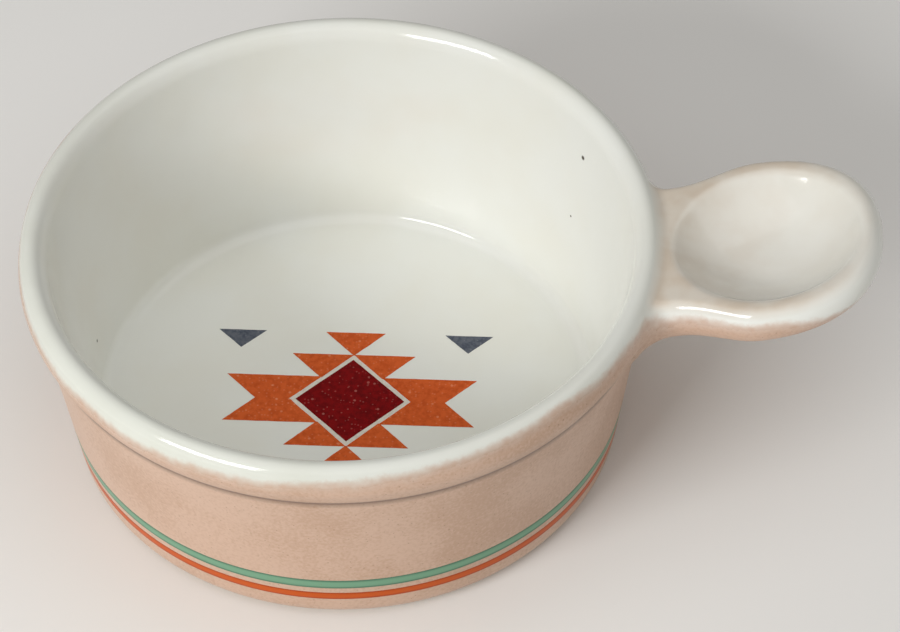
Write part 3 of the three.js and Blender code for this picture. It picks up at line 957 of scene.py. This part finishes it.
def banded(name, thin, dense):
    finish = Finish(name, Specular_IOR_Level=0.15)
    across = finish.carried("across")
    stretch = finish.node("ShaderNodeVectorMath", {"operation": "MULTIPLY"}, {
        0: finish.place, 1: (STREAK_WIDTH / STREAK_LENGTH, STREAK_WIDTH / STREAK_LENGTH, 1.0),
    })
    streaks = finish.noise(STREAK_WIDTH, 2.0, stretch)
    edge = finish.step(abs(across - 0.5) * 2, 0.25, 0.95)
    density = finish.step(edge * 0.75 + streaks * 0.5, 0.2, 1.0)
    colour = finish.mix(density, thin, dense)
    specks = finish.specks(SPECK_SPACING, SPECK_RADIUS, 0.12)
    finish.paint("Base Color", finish.mix(specks * 0.35, colour, IRON_SPECK))
    finish.paint("Roughness", 0.32 + (streaks - 0.5) * 0.16)
    finish.bump(streaks, 0.006)
    return finish.material


TEAL = banded("teal_slip", srgb(118, 164, 134), srgb(78, 122, 98))
RUST = banded("rust_slip", srgb(202, 86, 14), srgb(172, 66, 10))
print("teal and rust are mixed")

# %% Band the two lines
BAND_FILM = 0.025
BAND_SINK = 0.05
BAND_WAVER = 0.5
BANDS = (("teal_band", "teal_slip", TEAL, 2.0), ("rust_band", "rust_slip", RUST, 7.0))


def band_profile(node):
    """A lens on the wall, as high as the construction node: out along its face, and back under the wall."""
    bottom, top = (corner.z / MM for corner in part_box(node))
    shares = np.linspace(0, 1, 17)
    points = []
    for share in shares:
        height = bottom + (top - bottom) * share
        film = BAND_FILM * (1.1 * math.sin(math.pi * share) - 0.1)
        points.append((wall_radius(height) + film, height, {"across": share}))
    for share in (1.0, 0.0):
        height = bottom + (top - bottom) * share
        points.append((wall_radius(height) - BAND_SINK, height, {"across": share}))
    return [*points, points[0]]


for node, slot, material, seed in BANDS:
    band = turn(f"{node}_film", band_profile(node), material, waver=BAND_WAVER, lean=LEAN, seed=seed)
    ride(band, slot, node)

# %% [markdown]
# ## Printed motif
#
# The stepped diamond on the floor is printed in four colours and fired on. Every patch is the same kind
# of thing, so one tree makes them all from the construction nodes: it splits the patch into small faces,
# flattens it to a thin film that is sunk a little into the glaze, and frets its edges as a screen print's
# are. The colours are peppered with pale specks, where the glaze boiled through.

# %% Build the film tree
FRET_SIZE = 1.6
SPLITS = 4


def film_tree():
    group = bpy.data.node_groups.new("printed_film", "GeometryNodeTree")
    identifiers = add_inputs(group, {
        "Patch": "Geometry", "Floor": "Float", "Patch height": "Float", "Sink": "Float", "Film": "Float",
        "Middle": "Vector", "Spread": "Vector", "Fret": "Float", "Material": "Material",
    })
    tree = Tree(group)
    given = tree.node("NodeGroupInput")
    welded = tree.node("GeometryNodeMergeByDistance", None, {
        "Geometry": given.other("Patch"), "Distance": CLOSE_TOGETHER,
    })
    split = tree.node("GeometryNodeSubdivideMesh", None, {"Mesh": welded, "Level": SPLITS})
    position = tree.node("GeometryNodeInputPosition")
    place = tree.node("ShaderNodeSeparateXYZ", None, {0: position})
    flat = tree.node("ShaderNodeCombineXYZ", None, {0: place.other("X"), 1: place.other("Y")})
    fret = tree.node("ShaderNodeTexNoise", None, {
        "Vector": flat, "Scale": 1 / (FRET_SIZE * MM), "Detail": 2.0,
    }, "Color")
    draw = tree.node("ShaderNodeSeparateXYZ", None, {0: fret})
    lift = (place.other("Z") - given.other("Floor")) / given.other("Patch height")
    sink, film = given.other("Sink"), given.other("Film")
    middle = tree.node("ShaderNodeSeparateXYZ", None, {0: given.other("Middle")})
    spread = tree.node("ShaderNodeSeparateXYZ", None, {0: given.other("Spread")})

    def fretted(axis):
        wide = (place.other(axis) - middle.other(axis)) * spread.other(axis) + middle.other(axis)
        return wide + (draw.other(axis) - 0.5) * given.other("Fret")

    moved = tree.node("ShaderNodeCombineXYZ", None, {
        0: fretted("X"), 1: fretted("Y"), 2: given.other("Floor") - sink + (sink + film) * lift,
    })
    pressed = tree.node("GeometryNodeSetPosition", None, {"Geometry": split, "Position": moved})
    end_tree(tree, pressed, given.other("Material"))
    return group, identifiers


FILM, FILM_INPUTS = film_tree()
print(f"the film tree has {len(FILM.nodes)} nodes")

# %% Finish of a printed colour
DOT_SPACING, DOT_RADIUS = 1.3, 0.4
HAZE_SPACING, HAZE_RADIUS = 0.7, 0.28
MOTTLE_SIZE = 1.1


def printed(name, colour, dark, speck, density):
    finish = Finish(name, Specular_IOR_Level=0.08)
    mottle = finish.noise(MOTTLE_SIZE, 3.0)
    body = finish.mix(finish.step(mottle, 0.35, 0.7), colour, dark)
    dots = finish.specks(DOT_SPACING, DOT_RADIUS, density) * 0.5
    haze = finish.specks(HAZE_SPACING, HAZE_RADIUS, density * 2) * 0.25
    finish.paint("Base Color", finish.mix(dots + haze, body, speck))
    finish.paint("Roughness", 0.16 + mottle * 0.1)
    finish.bump(mottle, 0.008)
    return finish.material


PRINTS = {
    "orange_print": printed("orange_print", srgb(216, 98, 46), srgb(200, 84, 36), srgb(232, 156, 116), 0.2),
    "red_print": printed("red_print", srgb(130, 8, 12), srgb(106, 3, 7), srgb(196, 116, 108), 0.14),
    "pale_print": printed("pale_print", srgb(230, 224, 213), srgb(220, 212, 199), srgb(240, 238, 230), 0.1),
    "blue_print": printed("blue_print", srgb(102, 107, 117), srgb(76, 82, 95), srgb(152, 157, 165), 0.2),
}
print(f"{len(PRINTS)} printed colours")

# %% Print the motif
FILM_HEIGHT = 0.05
BORDER_HEIGHT = 0.03
FILM_SINK = 0.03
OVERPRINT = 0.24
FRET = 0.22


def print_patch(node, slot):
    """The colours are printed a little wider than their patches, over the edges of the pale border."""
    low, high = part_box(node)
    border = slot == "pale_print"
    grown = 0 if border else 2 * OVERPRINT * MM
    size = high - low
    values = {
        "Floor": low.z, "Patch height": size.z, "Sink": FILM_SINK * MM,
        "Film": (BORDER_HEIGHT if border else FILM_HEIGHT) * MM, "Middle": (low + high) / 2,
        "Spread": (1 + grown / size.x, 1 + grown / size.y, 1), "Fret": FRET * MM, "Material": PRINTS[slot],
    }
    patch = grow(f"{node}_film", frame["nodes"][node].data.copy(), FILM, FILM_INPUTS, values)
    ride(patch, slot, node)


for row in frame["record"]["subparts"]:
    if row["material_slot"] in PRINTS:
        print_patch(row["node"], row["material_slot"])

# %% [markdown]
# ## Floor and light
#
# The bowl stands on a plain pale floor. A wide soft lamp stands to the left in front, rather low, where
# the photograph's long highlights on the rim and the shade inside the left wall say that it was. A large
# lamp overhead and an even world fill the shade.

# %% Floor
FLOOR_SIZE = 8.0
FLOOR_COLOUR = srgb(242, 241, 238)
FLOOR_SHADE = srgb(237, 236, 232)


def make_floor():
    finish = Finish("floor_paper", Roughness=0.9)
    shade = finish.noise(300, 1.0)
    finish.paint("Base Color", finish.mix(shade * 0.3, FLOOR_COLOUR, FLOOR_SHADE))
    half = FLOOR_SIZE / 2
    mesh = bpy.data.meshes.new("floor")
    corners = [(-half, -half, 0), (half, -half, 0), (half, half, 0), (-half, half, 0)]
    mesh.from_pydata(corners, [], [(0, 1, 2, 3)])
    mesh.materials.append(finish.material)
    floor = new_object("floor", mesh)


make_floor()
print(f"the floor is {FLOOR_SIZE:.0f} m wide")

# %% Lamps and world
KEY_AZIMUTH, KEY_ELEVATION = math.radians(-38), math.radians(28)
KEY_DISTANCE, KEY_SIZE, KEY_POWER = 1.0, (0.5, 0.24), 6.0
TOP_AZIMUTH, TOP_ELEVATION = math.radians(30), math.radians(74)
TOP_DISTANCE, TOP_SIZE, TOP_POWER = 1.4, (2.4, 2.0), 10.4
WORLD_FILL = 0.22
WORLD_SEEN = 0.5
WORLD_COLOUR = (1.0, 0.975, 0.94, 1.0)


def soft_lamp(name, azimuth, elevation, distance, size, power):
    lamp = bpy.data.objects.new(name, bpy.data.lights.new(name, "AREA"))
    bpy.context.scene.collection.objects.link(lamp)
    lamp.data.shape = "RECTANGLE"
    lamp.data.size, lamp.data.size_y = size
    lamp.data.energy = power
    towards = direction(azimuth, elevation)
    lamp.location = Vector((axis_x, 0, RIM_HEIGHT * MM / 2)) + towards * distance
    lamp.rotation_euler = (-towards).to_track_quat("-Z", "Y").to_euler()


def light_world():
    world = bpy.data.worlds.new("studio")
    world.use_nodes = True
    tree = Tree(world.node_tree)
    world.node_tree.nodes.clear()
    ray = tree.node("ShaderNodeLightPath")
    seen = ray.other("Is Camera Ray") + ray.other("Is Glossy Ray") + ray.other("Is Transmission Ray")
    strength = WORLD_FILL + seen * (WORLD_SEEN - WORLD_FILL)
    sky = tree.node("ShaderNodeBackground", None, {"Color": WORLD_COLOUR, "Strength": strength})
    tree.node("ShaderNodeOutputWorld", None, {"Surface": sky})
    bpy.context.scene.world = world


soft_lamp("key_lamp", KEY_AZIMUTH, KEY_ELEVATION, KEY_DISTANCE, KEY_SIZE, KEY_POWER)
soft_lamp("top_lamp", TOP_AZIMUTH, TOP_ELEVATION, TOP_DISTANCE, TOP_SIZE, TOP_POWER)
light_world()
bpy.context.scene.view_settings.view_transform = "Standard"
print("two lamps and an even world")
